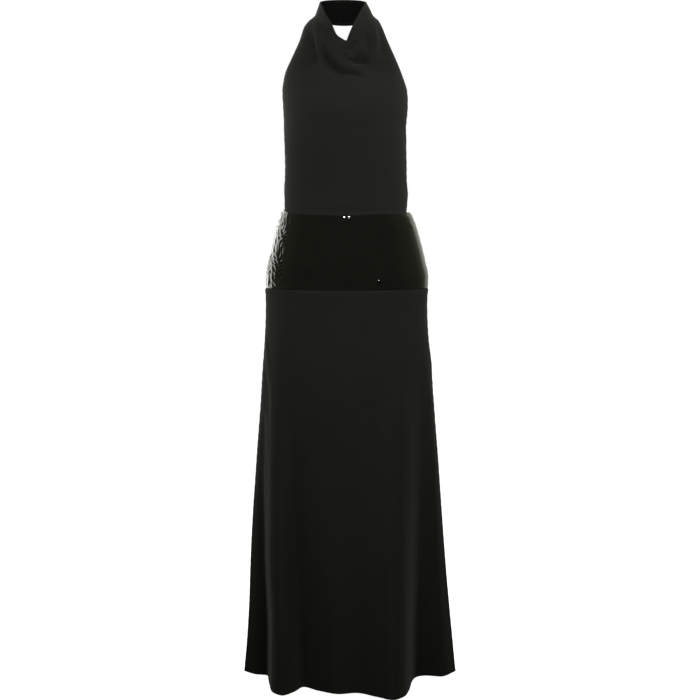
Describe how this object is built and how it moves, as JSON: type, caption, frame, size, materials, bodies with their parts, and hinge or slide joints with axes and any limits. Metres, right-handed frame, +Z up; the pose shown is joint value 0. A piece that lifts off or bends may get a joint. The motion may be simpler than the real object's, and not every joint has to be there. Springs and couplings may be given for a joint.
{
  "type": "maxi dress",
  "caption": "Floor-length halter dress with a draped cowl front, open back, wide glossy hip yoke and long flared skirt, hollow as if worn.",
  "frame": {"origin": "middle of the neck, level with the nape band, where the wearer's neck holds the dress", "axes": "+Z up along the dress, front towards -Y, +X to the right of someone facing the front"},
  "size_m": [0.478, 0.4104, 1.4982],
  "materials": {
    "crepe": "matte black crepe with a fine pebbled weave",
    "gloss_cloth": "high-gloss black coated cloth with a fine crinkle"
  },
  "bodies": {
    "root": {"front_bodice": "crepe", "neck_band": "crepe", "back_bodice": "crepe", "yoke_front": "gloss_cloth", "yoke_back": "gloss_cloth", "skirt_front": "crepe", "skirt_back": "crepe"}
  },
  "joints": []
}
